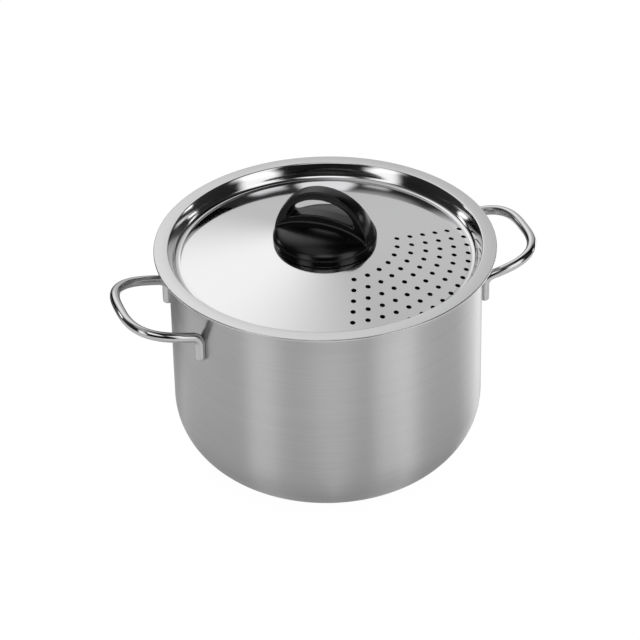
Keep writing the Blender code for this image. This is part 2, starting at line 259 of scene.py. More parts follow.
def makeLid(sizes):
    flangeTop, steps = sizes["flangeTop"], sizes["arcSteps"]
    gutterHeight = flangeTop - sizes["gutterDepth"]
    seatHeight = flangeTop + sizes["seatRise"]

    # the well's wall is an arc between the rounds of the mouth and of the gutter
    mouthRound, gutterRound = sizes["mouthRound"], sizes["gutterRound"]
    topDeg, footDeg = sizes["wellTopDeg"], sizes["wellFootDeg"]
    top, foot = math.radians(topDeg), math.radians(footDeg)
    mouthOut = sizes["mouthRadius"] + mouthRound * math.tan(top / 2)
    mouthMiddle = Vector((mouthOut, flangeTop - mouthRound))
    wallTop = mouthMiddle + mouthRound * Vector((-math.sin(top), math.cos(top)))
    gutterMiddleHeight = gutterHeight + gutterRound
    footHeight = gutterMiddleHeight - gutterRound * math.cos(foot)
    bow = (wallTop.y - footHeight) / (math.cos(top) - math.cos(foot))
    bowMiddle = wallTop - bow * Vector((-math.sin(top), math.cos(top)))
    gutterRadius = bowMiddle.x - (bow + gutterRound) * math.sin(foot)
    gutterMiddle = Vector((gutterRadius, gutterMiddleHeight))

    # the plate is a cone that touches the rounds of the seat's edge and of the gutter's shoulder
    seatRound, shoulderRound = sizes["seatRound"], sizes["shoulderRound"]
    shoulderDeg = sizes["shoulderDeg"]
    shoulder = math.radians(shoulderDeg)
    seatMiddle = Vector((sizes["seatRadius"], seatHeight - seatRound))
    away = Vector((math.sin(shoulder), math.cos(shoulder)))
    shoulderMiddle = gutterMiddle - (gutterRound + shoulderRound) * away
    apart = shoulderMiddle - seatMiddle
    lean = math.asin((seatRound - shoulderRound) / apart.length)
    coneDeg = 90 - math.degrees(lean - math.atan2(apart.y, apart.x))

    line = [(sizes["screwHoleRadius"], seatHeight), (sizes["seatRing"], seatHeight)]
    line += arc(seatMiddle, (seatRound, seatRound), 90, coneDeg, steps)
    edge = arc(
        shoulderMiddle, (shoulderRound, shoulderRound), coneDeg, 90 - shoulderDeg, steps
    )
    start, end, count = Vector(line[-1]), Vector(edge[0]), sizes["coneSteps"]
    line += [tuple(start.lerp(end, i / count)) for i in range(1, count)]
    gutterRadii = (gutterRound, gutterRound)
    gutter = arc(gutterMiddle, gutterRadii, -90 - shoulderDeg, footDeg - 90, sizes["gutterSteps"])
    wall = arc(bowMiddle, (bow, bow), 90 + footDeg, 90 + topDeg, steps)
    mouth = arc(mouthMiddle, (mouthRound, mouthRound), 90 + topDeg, 90, steps)
    line += edge + gutter[1:] + wall[1:] + mouth[1:]

    # the flange falls a little outwards to a small round and a turned down edge
    flangeRadius, flangeRound = sizes["flangeRadius"], sizes["flangeRound"]
    edgeTop = flangeTop - sizes["flangeFall"]
    line.append(((mouth[-1][0] + flangeRadius - flangeRound) / 2, (flangeTop + edgeTop) / 2))
    edgeMiddle = (flangeRadius - flangeRound, edgeTop - flangeRound)
    line += arc(edgeMiddle, (flangeRound, flangeRound), 90, 0, steps)
    line.append((flangeRadius, flangeTop - sizes["flangeTurnDown"]))

    profile = sheetProfile(line, -sizes["sheet"], roundEnd=True)
    lid = turnPiece("lidPlate", profile, sizes["turnSteps"])
    low, high = gutterHeight - sizes["punchBelow"], seatHeight + sizes["punchAbove"]
    cutBy(lid, strainerCutter(sizes, low, high))
    return lid


def strainerCutter(sizes, low, high):
    # All the punches of the strainer in one mesh, ring by ring.
    deselectAll()
    cutter = None
    middle = math.radians(sizes["sectorDeg"])
    for ring in range(sizes["ringCount"]):
        radius = sizes["firstRingRadius"] + sizes["ringStep"] * ring
        count = sizes["firstRingHoles"] + sizes["holesMorePerRing"] * ring
        for i in range(count):
            angle = middle + (i - (count - 1) / 2) * sizes["holePitch"] / radius
            bpy.ops.mesh.primitive_cylinder_add(
                vertices=sizes["holeSides"],
                radius=sizes["holeDiameter"] / 2,
                depth=high - low,
                location=(radius * math.cos(angle), radius * math.sin(angle), (low + high) / 2),
                rotation=(0, 0, angle),
            )
            if cutter is None:
                cutter = bpy.context.object
                bpy.ops.object.transform_apply(location=True, rotation=True)
                bpy.ops.object.mode_set(mode="EDIT")
    bpy.ops.object.mode_set(mode="OBJECT")
    return cutter


handleSizes = {
    "rodDiameter": 0.0077,
    "rodFineness": 10,
    "legInset": 0.0017,
    "legSpacing": 0.0848,
    "legTop": 0.1475,
    "legLength": 0.0140,
    "legShares": (0.35, 0.7),  # points along the straight leg
    "legBend": 0.0075,
    "bendSteps": 14,
    "endRound": 0.0016,
    "endShare": 0.35,  # the thickness share of the leg's flat end
    "endSteps": 6,
    "reach": 0.1654,
    "riseDeg": 11.5,
    "loopSquareness": 2.9,
    "loopPoints": 73,
    "wallGap": 0.0002,
    "trimSides": 192,
    "trimHeight": 0.12,
    "smoothDeg": 40.0,
}


def handleRoute(sizes, wallRadius):
    # Points (out, across, up, thickness share) along the rod's middle, leg foot to leg foot.
    half, bend, legTop = sizes["legSpacing"] / 2, sizes["legBend"], sizes["legTop"]
    out = math.sqrt((wallRadius - sizes["legInset"] + sizes["rodDiameter"] / 2) ** 2 - half ** 2)
    rise = math.radians(sizes["riseDeg"])
    bottom = legTop - sizes["legLength"]
    flat = sizes["endShare"]
    near = []
    for i in range(sizes["endSteps"] + 1):  # the leg's rounded end
        angle = math.pi / 2 * i / sizes["endSteps"]
        up = bottom + sizes["endRound"] * (1 - math.cos(angle))
        near.append((out, half, up, flat + (1 - flat) * math.sin(angle)))
    for share in sizes["legShares"]:
        near.append((out, half, bottom + sizes["legLength"] * share, 1.0))
    for i in range(sizes["bendSteps"] + 1):
        turn = (math.pi / 2 - rise) * i / sizes["bendSteps"]
        near.append((out + bend * (1 - math.cos(turn)), half, legTop + bend * math.sin(turn), 1.0))

    start = near[-1]
    reach = (sizes["reach"] - start[0]) / math.cos(rise)
    power = 2 / sizes["loopSquareness"]
    loop = []
    count = sizes["loopPoints"]
    for i in range(1, count - 1):
        angle = math.pi * i / (count - 1)
        along = reach * math.sin(angle) ** power
        side = math.copysign(half * abs(math.cos(angle)) ** power, math.cos(angle))
        outer, up = start[0] + along * math.cos(rise), start[2] + along * math.sin(rise)
        loop.append((outer, side, up, 1.0))
    far = [(o, -a, u, share) for o, a, u, share in reversed(near)]
    return near + loop + far


def makeHandle(name, side, sizes, wallRadius):
    # A rod along the route, whose legs are trimmed to the round wall.
    deselectAll()
    route = handleRoute(sizes, wallRadius)
    bpy.ops.curve.primitive_nurbs_path_add()
    rod = bpy.context.object
    rod.name = rod.data.name = name
    rod.data.splines.clear()
    line = rod.data.splines.new("POLY")
    line.points.add(len(route) - 1)
    for point, (out, across, up, share) in zip(line.points, route):
        point.co = (side * out, side * across, up, 1.0)
        point.radius = share
    rod.data.bevel_depth = sizes["rodDiameter"] / 2
    rod.data.bevel_resolution = sizes["rodFineness"]
    rod.data.use_fill_caps = True
    bpy.ops.object.convert(target="MESH")
    rod = bpy.context.object
    bpy.ops.object.mode_set(mode="EDIT")
    closeUp()
    deselectAll()
    bpy.ops.mesh.primitive_cylinder_add(
        vertices=sizes["trimSides"],
        radius=wallRadius + sizes["wallGap"],
        depth=sizes["trimHeight"],
        location=(0, 0, sizes["legTop"]),
    )
    cutBy(rod, bpy.context.object)
    return rod


knobSizes = {
    "radius": 0.040,
    "turnDeg": -41.0,
    "baseHeight": 0.1890,
    "skirtHeight": 0.0058,
    "skirtRound": 0.0012,
    "skirtRoundDeg": 30,
    "skirtRoundSteps": 3,
    "crownHeight": 0.0116,
    "crownInset": 0.0004,
    "crownEndDeg": 8,
    "crownSteps": 24,
    "gripHeight": 0.0455,
    "gripWaist": 0.0110,
    "gripFootWidth": 0.0200,
    "gripInset": 0.0006,
    "gripOverhang": 0.001,
    "webHeight": 0.12,
    "windowLength": 0.0540,
    "windowTop": 0.0381,
    "windowDepth": 0.09,
    "sillHeight": 0.0242,
    "sillCrown": 0.0045,
    "roundSteps": 40,
    "bowSteps": 24,
    "turnSteps": 96,
    "wall": 0.0032,
    "bossRadius": 0.0085,
    "insertRadius": 0.0047,
    "insertLength": 0.0128,
    "boreSteps": 48,
    "cutLow": -0.002,  # the cutters start below the knob's foot
    "voxel": 0.00055,
    "smoothShare": 0.5,
    "smoothRounds": 10,
    "smoothDeg": 60.0,
}


def bowedLine(halfLength, middle, endChange, steps):
    # Points from one end to the other whose second value changes from the middle's to the ends.
    points = []
    for i in range(steps + 1):
        share = 2 * i / steps - 1
        points.append((halfLength * share, middle + endChange * share ** 2))
    return points


def makeKnob(sizes):
    radius, skirt, wall = sizes["radius"], sizes["skirtHeight"], sizes["wall"]
    inset, edge = sizes["crownInset"], sizes["skirtRound"]
    crownRadii = (radius - inset, sizes["crownHeight"])
    profile = arc((0.0, skirt), crownRadii, 90, sizes["crownEndDeg"], sizes["crownSteps"])
    edgeMiddle = (radius - edge, skirt - inset)
    profile += arc(
        edgeMiddle, (edge, edge), sizes["skirtRoundDeg"], 0, sizes["skirtRoundSteps"]
    )
    profile += [(radius, 0.0), (0.0, 0.0)]
    knob = turnPiece("knobGrip", profile, sizes["turnSteps"])

    # the grip is a web with a narrow waist, cut out of an oval dome
    foot = skirt / 2
    domeRadii = (radius - sizes["gripInset"], sizes["gripHeight"] - foot)
    dome = arc((0.0, foot), domeRadii, 90, 0, sizes["roundSteps"]) + [(0.0, foot)]
    ball = turnPiece("gripBall", dome, sizes["turnSteps"])
    footChange = (sizes["gripFootWidth"] - sizes["gripWaist"]) / 2
    halfLength = radius + sizes["gripOverhang"]
    side = bowedLine(halfLength, sizes["gripWaist"] / 2, footChange, sizes["bowSteps"])
    web = drawBlock("gripWeb", side + [(-x, -y) for x, y in side], sizes["webHeight"])
    makeActive(web)  # drawn lying, then stood up
    bpy.ops.object.mode_set(mode="EDIT")
    bpy.ops.mesh.select_all(action="SELECT")
    bpy.ops.transform.rotate(value=math.pi / 2, orient_axis="X", center_override=(0, 0, 0))
    bpy.ops.object.mode_set(mode="OBJECT")
    cutBy(ball, web, "INTERSECT")
    cutBy(knob, ball, "UNION")

    sill, crown = sizes["sillHeight"], sizes["sillCrown"]
    half = sizes["windowLength"] / 2
    windowRadii = (half, sizes["windowTop"] - (sill - crown))
    window = arc((0.0, sill - crown), windowRadii, 0, 180, sizes["roundSteps"])
    window += bowedLine(half, sill, -crown, sizes["bowSteps"])[1:-1]
    cutBy(knob, drawBlock("gripWindow", window, sizes["windowDepth"]))

    # the inside is hollow round a boss that holds the insert
    boss, low = sizes["bossRadius"], sizes["cutLow"]
    inner, ceiling = radius - wall, skirt + sizes["crownHeight"] - wall
    hollow = [(boss, ceiling), (inner / 2, ceiling - wall / 2), (inner, skirt - wall)]
    hollow += [(inner, low), (boss, low), (boss, ceiling)]
    cutBy(knob, turnPiece("knobHollow", hollow, sizes["turnSteps"]))
    insert, depth = sizes["insertRadius"], sizes["insertLength"]
    bore = [(0.0, depth), (insert, depth), (insert, low), (0.0, low)]
    cutBy(knob, turnPiece("insertBore", bore, sizes["boreSteps"]))

    # one voxel skin melts the joins into small moulded rounds
    modify(knob, "REMESH", mode="VOXEL", voxel_size=sizes["voxel"])
    modify(knob, "SMOOTH", factor=sizes["smoothShare"], iterations=sizes["smoothRounds"])
    bpy.ops.object.mode_set(mode="EDIT")
    bpy.ops.mesh.select_all(action="SELECT")
    turn = -math.radians(sizes["turnDeg"])
    bpy.ops.transform.rotate(value=turn, orient_axis="Z", center_override=(0, 0, 0))
    bpy.ops.transform.translate(value=(0, 0, sizes["baseHeight"]))
    bpy.ops.object.mode_set(mode="OBJECT")
    return knob


fixingSizes = {
    "seatUnderside": 0.1870,
    "gap": 0.0003,
    "boreRadius": 0.0023,
    "washerRadius": 0.0060,
    "washerSheet": 0.0008,
    "washerSteps": 64,
    "bevelWidth": 0.00012,
    "bevelSegments": 2,
    "bevelFromDeg": 50,
    "screwRadius": 0.0020,
    "screwLength": 0.0135,
    "screwSteps": 48,
    "headRadius": 0.0042,
    "headHeight": 0.0024,
    "headRim": 0.0008,
    "headEndDeg": -75,
    "headSteps": 10,
    "point": 0.0008,
    "recessWidth": 0.0011,
    "recessLength": 0.0046,
    "recessDepth": 0.0014,
}


def makeWasher(sizes):
    top = sizes["seatUnderside"] - sizes["gap"]
    low = top - sizes["washerSheet"]
    inner, outer = sizes["boreRadius"], sizes["washerRadius"]
    profile = [(inner, top), (outer, top), (outer, low), (inner, low), (inner, top)]
    washer = turnPiece("screwWasher", profile, sizes["washerSteps"])
    modify(
        washer,
        "BEVEL",
        width=sizes["bevelWidth"],
        segments=sizes["bevelSegments"],
        limit_method="ANGLE",
        angle_limit=math.radians(sizes["bevelFromDeg"]),
    )
    return washer


def makeScrew(sizes):
    # The head hangs under the washer, and two crossed cuts are its recess.
    seat = sizes["seatUnderside"] - 2 * sizes["gap"] - sizes["washerSheet"]
    top, low = seat + sizes["screwLength"], seat - sizes["headHeight"]
    shank, head, point = sizes["screwRadius"], sizes["headRadius"], sizes["point"]
    crown = (head, sizes["headHeight"] - sizes["headRim"])
    rim = (0.0, seat - sizes["headRim"])
    profile = [(0.0, top), (shank - point, top), (shank, top - point), (shank, seat), (head, seat)]
    profile += arc(rim, crown, 0, sizes["headEndDeg"], sizes["headSteps"]) + [(0.0, low)]
    screw = turnPiece("knobScrewFine", profile, sizes["screwSteps"])
    for turned in (0.0, math.pi / 2):
        deselectAll()
        bpy.ops.mesh.primitive_cube_add(size=1, location=(0, 0, low), rotation=(0, 0, turned))
        slot = bpy.context.object
        slot.scale = (sizes["recessLength"], sizes["recessWidth"], 2 * sizes["recessDepth"])
        bpy.ops.object.transform_apply(location=True, rotation=True, scale=True)
        cutBy(screw, slot)
    return screw


def linear(hexColour):
    # sRGB hex to linear colour.
    parts = [int(hexColour[i:i + 2], 16) / 255 for i in (0, 2, 4)]
    levels = [c / 12.92 if c <= 0.04045 else ((c + 0.055) / 1.055) ** 2.4 for c in parts]
    return tuple(levels) + (1.0,)


def addNode(tree, kind, inputs=None, **settings):
    # Adds a node; each input takes a value, or another node's output to link from.
    made = tree.nodes.new(kind)
    for name, value in settings.items():
        setattr(made, name, value)
    for name, value in (inputs or {}).items():
        if isinstance(value, bpy.types.NodeSocket):
            tree.links.new(value, made.inputs[name])
        else:
            made.inputs[name].default_value = value
    return made


def setStops(ramp, stops):
    # Positions and grey values of a colour ramp.
    elements = ramp.color_ramp.elements
    while len(elements) < len(stops):
        elements.new(1.0)
    for element, (at, value) in zip(elements, stops):
        element.position, element.color = at, (value, value, value, 1)


def newMaterial(name, **values):
    # A Principled material with constant values on its own sockets.
    made = bpy.data.materials.new(name)
    made.use_nodes = True
    shader = made.node_tree.nodes["Principled BSDF"]
    for socket, value in values.items():
        shader.inputs[socket.replace("_", " ")].default_value = value
    return made, made.node_tree, shader


def brushRound(tree, shader):
    # The brush lines run round the upright axis.
    tangent = addNode(tree, "ShaderNodeTangent", direction_type="RADIAL", axis="Z")
    tree.links.new(tangent.outputs[0], shader.inputs["Tangent"])


def evenSpots(tree, finish):
    # Noise of one size all over the piece.
    place = addNode(tree, "ShaderNodeTexCoord").outputs["Object"]
    noise = {"Vector": place, "Scale": finish["spotsPerMetre"], "Detail": finish["detail"]}
    return addNode(tree, "ShaderNodeTexNoise", noise).outputs["Fac"]


def longLines(tree, finish):
    # Noise with a scale of its own along each axis, which draws it into lines.
    place = addNode(tree, "ShaderNodeTexCoord").outputs["Object"]
    lines = addNode(tree, "ShaderNodeMapping", {"Vector": place, "Scale": finish["linesPerMetre"]})
    noise = {"Vector": lines.outputs[0], "Scale": 1.0, "Detail": finish["detail"]}
    return addNode(tree, "ShaderNodeTexNoise", noise).outputs["Fac"]


def turnedRings(tree, finish):
    # The distance from the upright axis, and noise along it that draws rings.
    place = addNode(tree, "ShaderNodeTexCoord").outputs["Object"]
    level = {0: place, 1: (1.0, 1.0, 0.0)}
    flat = addNode(tree, "ShaderNodeVectorMath", level, operation="MULTIPLY").outputs[0]
    radius = addNode(tree, "ShaderNodeVectorMath", {0: flat}, operation="LENGTH").outputs["Value"]
    noise = {"W": radius, "Scale": finish["ringsPerMetre"], "Detail": finish["detail"]}
    rings = addNode(tree, "ShaderNodeTexNoise", noise, noise_dimensions="1D").outputs["Fac"]
    return radius, rings


def varyRoughness(tree, shader, pattern, finish):
    low, high = finish["patternRange"]
    smooth, rough = finish["roughness"]
    satin = addNode(tree, "ShaderNodeMapRange", {0: pattern, 1: low, 2: high, 3: smooth, 4: rough})
    tree.links.new(satin.outputs[0], shader.inputs["Roughness"])


def varyColour(tree, shader, pattern, dark, pale):
    ends = {"Factor": pattern, "A": linear(dark), "B": linear(pale)}
    shade = addNode(tree, "ShaderNodeMix", ends, data_type="RGBA")
    tree.links.new(shade.outputs["Result"], shader.inputs["Base Color"])


shellFinish = {
    "roughness": 0.34,
    "stretch": 1.0,
    "stretchTurn": 0.25,
    # brush lines about 0.1 mm apart in life, drawn 0.9 mm apart to show, and some 70 mm long
    "linesPerMetre": (14.0, 14.0, 1100.0),
    "detail": 3.0,
    "stops": ((0.35, "CBCBCB"), (0.65, "D0D0D0")),
}


def steelShell(finish):
    # Drawn 18/10 stainless steel, brushed round the wall: the lines run level, so that
    # reflections smear up and down into soft upright bands and stay crisp from side to side.
    made, tree, shader = newMaterial(
        "stainless steel, brushed round",
        Metallic=1.0,
        Roughness=finish["roughness"],
        Anisotropic=finish["stretch"],
        Anisotropic_Rotation=finish["stretchTurn"],
    )
    brushRound(tree, shader)
    shade = addNode(tree, "ShaderNodeValToRGB", {0: longLines(tree, finish)})
    for element, (at, colour) in zip(shade.color_ramp.elements, finish["stops"]):
        element.position, element.color = at, linear(colour)
    tree.links.new(shade.outputs[0], shader.inputs["Base Color"])
    return made


lidFinish = {
    "plateStart": 0.040,  # radii between which the roughness stops lie
    "flangeEnd": 0.132,
    "stops": ((0.0, 0.08), (0.76, 0.06), (0.80, 0.08), (0.878, 0.08), (0.90, 0.22)),
    "ringsPerMetre": 1250.0,  # buffing rings: hair fine in life, drawn about 0.8 mm apart
    "detail": 2.0,
    "ringRoughness": 0.03,
    "satinStart": 0.1205,  # the flange's tone sets in between these radii
    "satinEnd": 0.1225,
    "polished": "D2D2D3",
    "satin": "C9C9CA",
}


def steelLid(finish):
    # Pressed stainless steel: the plate and the well are buffed to a mirror on a turning disc,
    # which leaves faint rings, and the flange is left satin.
    made, tree, shader = newMaterial("stainless steel, mirror polished lid", Metallic=1.0)
    radius, rings = turnedRings(tree, finish)
    across = {0: radius, 1: finish["plateStart"], 2: finish["flangeEnd"], 3: 0.0, 4: 1.0}
    reach = addNode(tree, "ShaderNodeMapRange", across).outputs[0]
    satin = addNode(tree, "ShaderNodeValToRGB", {0: reach})
    setStops(satin, finish["stops"])
    ringed = {0: rings, 1: finish["ringRoughness"], 2: satin.outputs[0]}
    ringed = addNode(tree, "ShaderNodeMath", ringed, operation="MULTIPLY_ADD").outputs[0]
    tree.links.new(ringed, shader.inputs["Roughness"])
    across = {0: radius, 1: finish["satinStart"], 2: finish["satinEnd"], 3: 0.0, 4: 1.0}
    tone = addNode(tree, "ShaderNodeMapRange", across).outputs[0]
    varyColour(tree, shader, tone, finish["polished"], finish["satin"])
    return made


rodFinish = {
    "colour": "C2C2C3",
    "spotsPerMetre": 320.0,  # haze in spots of some 3 mm
    "detail": 3.0,
    "patternRange": (0.35, 0.7),
    "roughness": (0.03, 0.09),
}


def steelRod(finish):
    # Drawn stainless steel rod, tumbled and then polished: a mirror with faint uneven haze.
    made, tree, shader = newMaterial(
        "stainless steel rod, polished", Base_Color=linear(finish["colour"]), Metallic=1.0
    )
    varyRoughness(tree, shader, evenSpots(tree, finish), finish)
    return made


knobFinish = {
    "colour": "080809",
    "specular": 0.4,
    "spotsPerMetre": 2000.0,  # the mould's grain is about 0.2 mm, drawn 0.5 mm so that it shows
    "detail": 2.0,
    "patternRange": (0.3, 0.7),
    "roughness": (0.18, 0.26),
    "reliefStrength": 0.12,
    "reliefDepth": 0.00005,
}


def knobPlastic(finish):
    # Compression moulded phenolic plastic: deep black, smooth, with the mould's fine texture
    # that breaks highlights into a satin glow.
    made, tree, shader = newMaterial(
        "phenolic plastic, moulded black",
        Base_Color=linear(finish["colour"]),
        Specular_IOR_Level=finish["specular"],
    )
    grain = evenSpots(tree, finish)
    varyRoughness(tree, shader, grain, finish)
    strength, depth = finish["reliefStrength"], finish["reliefDepth"]
    bump = {"Height": grain, "Strength": strength, "Distance": depth}
    relief = addNode(tree, "ShaderNodeBump", bump)
    tree.links.new(relief.outputs[0], shader.inputs["Normal"])
    return made


capFinish = {
    "stretch": 0.8,
    "stretchTurn": 0.25,
    "ringsPerMetre": 1000.0,  # turning lines about 0.3 mm apart in life, drawn 1 mm apart
    "detail": 3.0,
    "dark": "B9BABB",
    "pale": "D0D1D2",
    "patternRange": (0.0, 1.0),
    "roughness": (0.24, 0.38),
}


def capSteel(finish):
    # Stainless steel sheet, turned on a lathe after pressing: fine rings round the middle.
    made, tree, shader = newMaterial(
        "stainless steel, turned base",
        Metallic=1.0,
        Anisotropic=finish["stretch"],
        Anisotropic_Rotation=finish["stretchTurn"],
    )
    brushRound(tree, shader)
    rings = turnedRings(tree, finish)[1]
    varyColour(tree, shader, rings, finish["dark"], finish["pale"])
    varyRoughness(tree, shader, rings, finish)
    return made


coreFinish = {
    "linesPerMetre": (25.0, 1400.0, 25.0),  # rolling lines some 40 mm long and 0.7 mm apart
    "detail": 3.0,
    "dark": "C4C5C8",
    "pale": "DADBDD",
    "patternRange": (0.0, 1.0),
    "roughness": (0.38, 0.55),
}


def coreAluminium(finish):
    # Rolled aluminium disc, raw: a dull pale metal with lines along the rolling direction.
    made, tree, shader = newMaterial("aluminium, as rolled", Metallic=1.0)
    grain = longLines(tree, finish)
    varyColour(tree, shader, grain, finish["dark"], finish["pale"])
    varyRoughness(tree, shader, grain, finish)
    return made


brassFinish = {
    "linesPerMetre": (40.0, 40.0, 2500.0),  # tool lines 0.4 mm apart
    "detail": 2.0,
    "dark": "C29A4E",
    "pale": "DDBB70",
    "patternRange": (0.0, 1.0),
    "roughness": (0.2, 0.34),
}


def insertBrass(finish):
    # Free-cutting brass, turned and pressed in: level tool lines on a warm yellow metal.
    made, tree, shader = newMaterial("brass, turned", Metallic=1.0)
    grain = longLines(tree, finish)
    varyColour(tree, shader, grain, finish["dark"], finish["pale"])
    varyRoughness(tree, shader, grain, finish)
    return made


zincFinish = {
    "spotsPerMetre": 500.0,  # clouds of about 2 mm
    "detail": 3.0,
    "dark": "B4B9C0",
    "pale": "CFD3D8",
    "patternRange": (0.0, 1.0),
    "roughness": (0.16, 0.32),
}


def fixingZinc(finish):
    # Cold-formed steel, zinc plated and clear passivated: bluish, with faint clouds.
    made, tree, shader = newMaterial("steel, zinc plated", Metallic=1.0)
    clouds = evenSpots(tree, finish)
    varyColour(tree, shader, clouds, finish["dark"], finish["pale"])
    varyRoughness(tree, shader, clouds, finish)
    return made


def paint(piece, material):
    # Puts the material in each of the piece's slots.
    if piece.data.materials:
        for i in range(len(piece.data.materials)):
            piece.data.materials[i] = material
    else:
        piece.data.materials.append(material)


def skyDirection(azimuthDeg, elevationDeg):
    # Azimuth 0 points to the camera and grows to the right.
    azimuth, elevation = math.radians(azimuthDeg), math.radians(elevationDeg)
    across, towards = math.sin(azimuth), -math.cos(azimuth)
    level = math.cos(elevation)
    return Vector((across * level, towards * level, math.sin(elevation)))


def softEnds(halfDeg, softDeg):
    # The cosines where a soft edge starts and ends, as inputs of a Map Range node.
    return {
        1: math.cos(math.radians(halfDeg + softDeg)),
        2: math.cos(math.radians(max(halfDeg - softDeg, 0.0))),
    }


def softSpot(tree, direction, middle, halfDeg, softDeg, bright):
    # A round patch of brightness about a middle direction.
    pair = {0: direction, 1: middle}
    near = addNode(tree, "ShaderNodeVectorMath", pair, operation="DOT_PRODUCT").outputs["Value"]
    edge = {0: near, **softEnds(halfDeg, softDeg), 3: 0.0, 4: bright}
    return addNode(tree, "ShaderNodeMapRange", edge, interpolation_type="SMOOTHSTEP").outputs[0]


floorLook = {
    "size": 12.0,
    "colour": "E4E4E4",
    "seenWhite": 0.9,  # share of plain white in the seen floor; the rest keeps a faint shadow
    "seenStrength": 1.08,  # makes up for that rest, so that the open floor is plain white
    "mirroredWhite": 0.7,  # share of plain white in the floor that the steel mirrors
    # the mirrored floor's foot shadow: starts at the first radius with the last value's share
    # of the light and ends at the second radius
    "footShade": (0.125, 0.25, 0.50),
    # the mirrored floor's painted shade, a dark fan: facing, half width and softness of its fan,
    # radii where it starts and is full
    "paintedDarkFan": (-152.0, 44.0, 10.0, 0.25, 0.34),
    "paintedFanRadius": 0.121,
    "paintedFans": {  # fans of painted light on the floor for the wall to mirror: facing, half width and softness of the fan, added brightness, which paints shade where it is below zero
        "right": (64.0, 12.0, 12.0, 0.19),
        "middle": (4.0, 16.0, 12.0, 0.20),
        "left": (-57.0, 5.0, 4.0, 0.08),
        "leftGap": (-37.0, 4.0, 4.0, -0.12),
        "edge": (138.0, 5.0, 3.0, 2.4),
    },
}


def makeFloor(values, turnDeg):
    # Plain white to the camera; the steel mirrors it with a painted foot shadow, fans of painted
    # light and a painted dark fan.
    deselectAll()
    bpy.ops.mesh.primitive_plane_add(size=values["size"])
    floor = bpy.context.object
    floor.name = "studioFloor"
    material = bpy.data.materials.new("pale floor")
    material.use_nodes = True
    tree = material.node_tree
    tree.nodes.clear()
    turned = Matrix.Rotation(math.radians(turnDeg), 4, "Z")
    place = addNode(tree, "ShaderNodeTexCoord").outputs["Object"]
    away = addNode(tree, "ShaderNodeVectorMath", {0: place}, operation="LENGTH").outputs["Value"]
    start, end, least = values["footShade"]
    foot = {0: away, 1: start, 2: end, 3: least, 4: 1.0}
    shade = addNode(tree, "ShaderNodeMapRange", foot).outputs[0]

    # each fan of painted light starts at the wall point which mirrors its direction
    for facing, half, soft, extra in values["paintedFans"].values():
        start = turned @ skyDirection(facing / 2, 0.0) * values["paintedFanRadius"]
        ray = {0: place, 1: start}
        fromStart = addNode(tree, "ShaderNodeVectorMath", ray, operation="SUBTRACT").outputs[0]
        outward = addNode(
            tree, "ShaderNodeVectorMath", {0: fromStart}, operation="NORMALIZE"
        ).outputs[0]
        paintedFan = softSpot(tree, outward, turned @ skyDirection(facing, 0.0), half, soft, extra)
        shade = addNode(tree, "ShaderNodeMath", {0: shade, 1: paintedFan}, operation="ADD").outputs[0]

    # painted shade: the floor that the steel mirrors is made darker in this fan beyond a radius
    facing, half, soft, first, last = values["paintedDarkFan"]
    outward = addNode(tree, "ShaderNodeVectorMath", {0: place}, operation="NORMALIZE").outputs[0]
    side = softSpot(tree, outward, turned @ skyDirection(facing, 0.0), half, soft, 1.0)
    reach = {0: away, 1: first, 2: last, 3: 0.0, 4: 1.0}
    beyond = addNode(tree, "ShaderNodeMapRange", reach).outputs[0]
    dark = addNode(tree, "ShaderNodeMath", {0: side, 1: beyond}, operation="MULTIPLY").outputs[0]
    light = addNode(tree, "ShaderNodeMath", {0: 1.0, 1: dark}, operation="SUBTRACT").outputs[0]
    shade = addNode(tree, "ShaderNodeMath", {0: shade, 1: light}, operation="MULTIPLY").outputs[0]

    path = addNode(tree, "ShaderNodeLightPath").outputs
    steel = {0: path["Is Glossy Ray"], 1: path["Is Transmission Ray"]}
    mirrored = addNode(tree, "ShaderNodeMath", steel, operation="MAXIMUM").outputs[0]
    lift = {0: mirrored, 1: values["mirroredWhite"]}
    lifted = addNode(tree, "ShaderNodeMath", lift, operation="MULTIPLY").outputs[0]
    view = {0: path["Is Camera Ray"], 1: values["seenWhite"]}
    seen = addNode(tree, "ShaderNodeMath", view, operation="MULTIPLY").outputs[0]
    share = addNode(tree, "ShaderNodeMath", {0: seen, 1: lifted}, operation="MAXIMUM").outputs[0]
    power = {"Factor": path["Is Camera Ray"], "A": shade, "B": values["seenStrength"]}
    strength = addNode(tree, "ShaderNodeMix", power, data_type="FLOAT").outputs[0]
    white = addNode(tree, "ShaderNodeEmission", {"Color": (1, 1, 1, 1), "Strength": strength})
    matt = addNode(tree, "ShaderNodeBsdfDiffuse", {"Color": linear(values["colour"])})
    both = {0: share, 1: matt.outputs[0], 2: white.outputs[0]}
    mixed = addNode(tree, "ShaderNodeMixShader", both)
    addNode(tree, "ShaderNodeOutputMaterial", {"Surface": mixed.outputs[0]})
    floor.data.materials.append(material)
    print("made the floor")


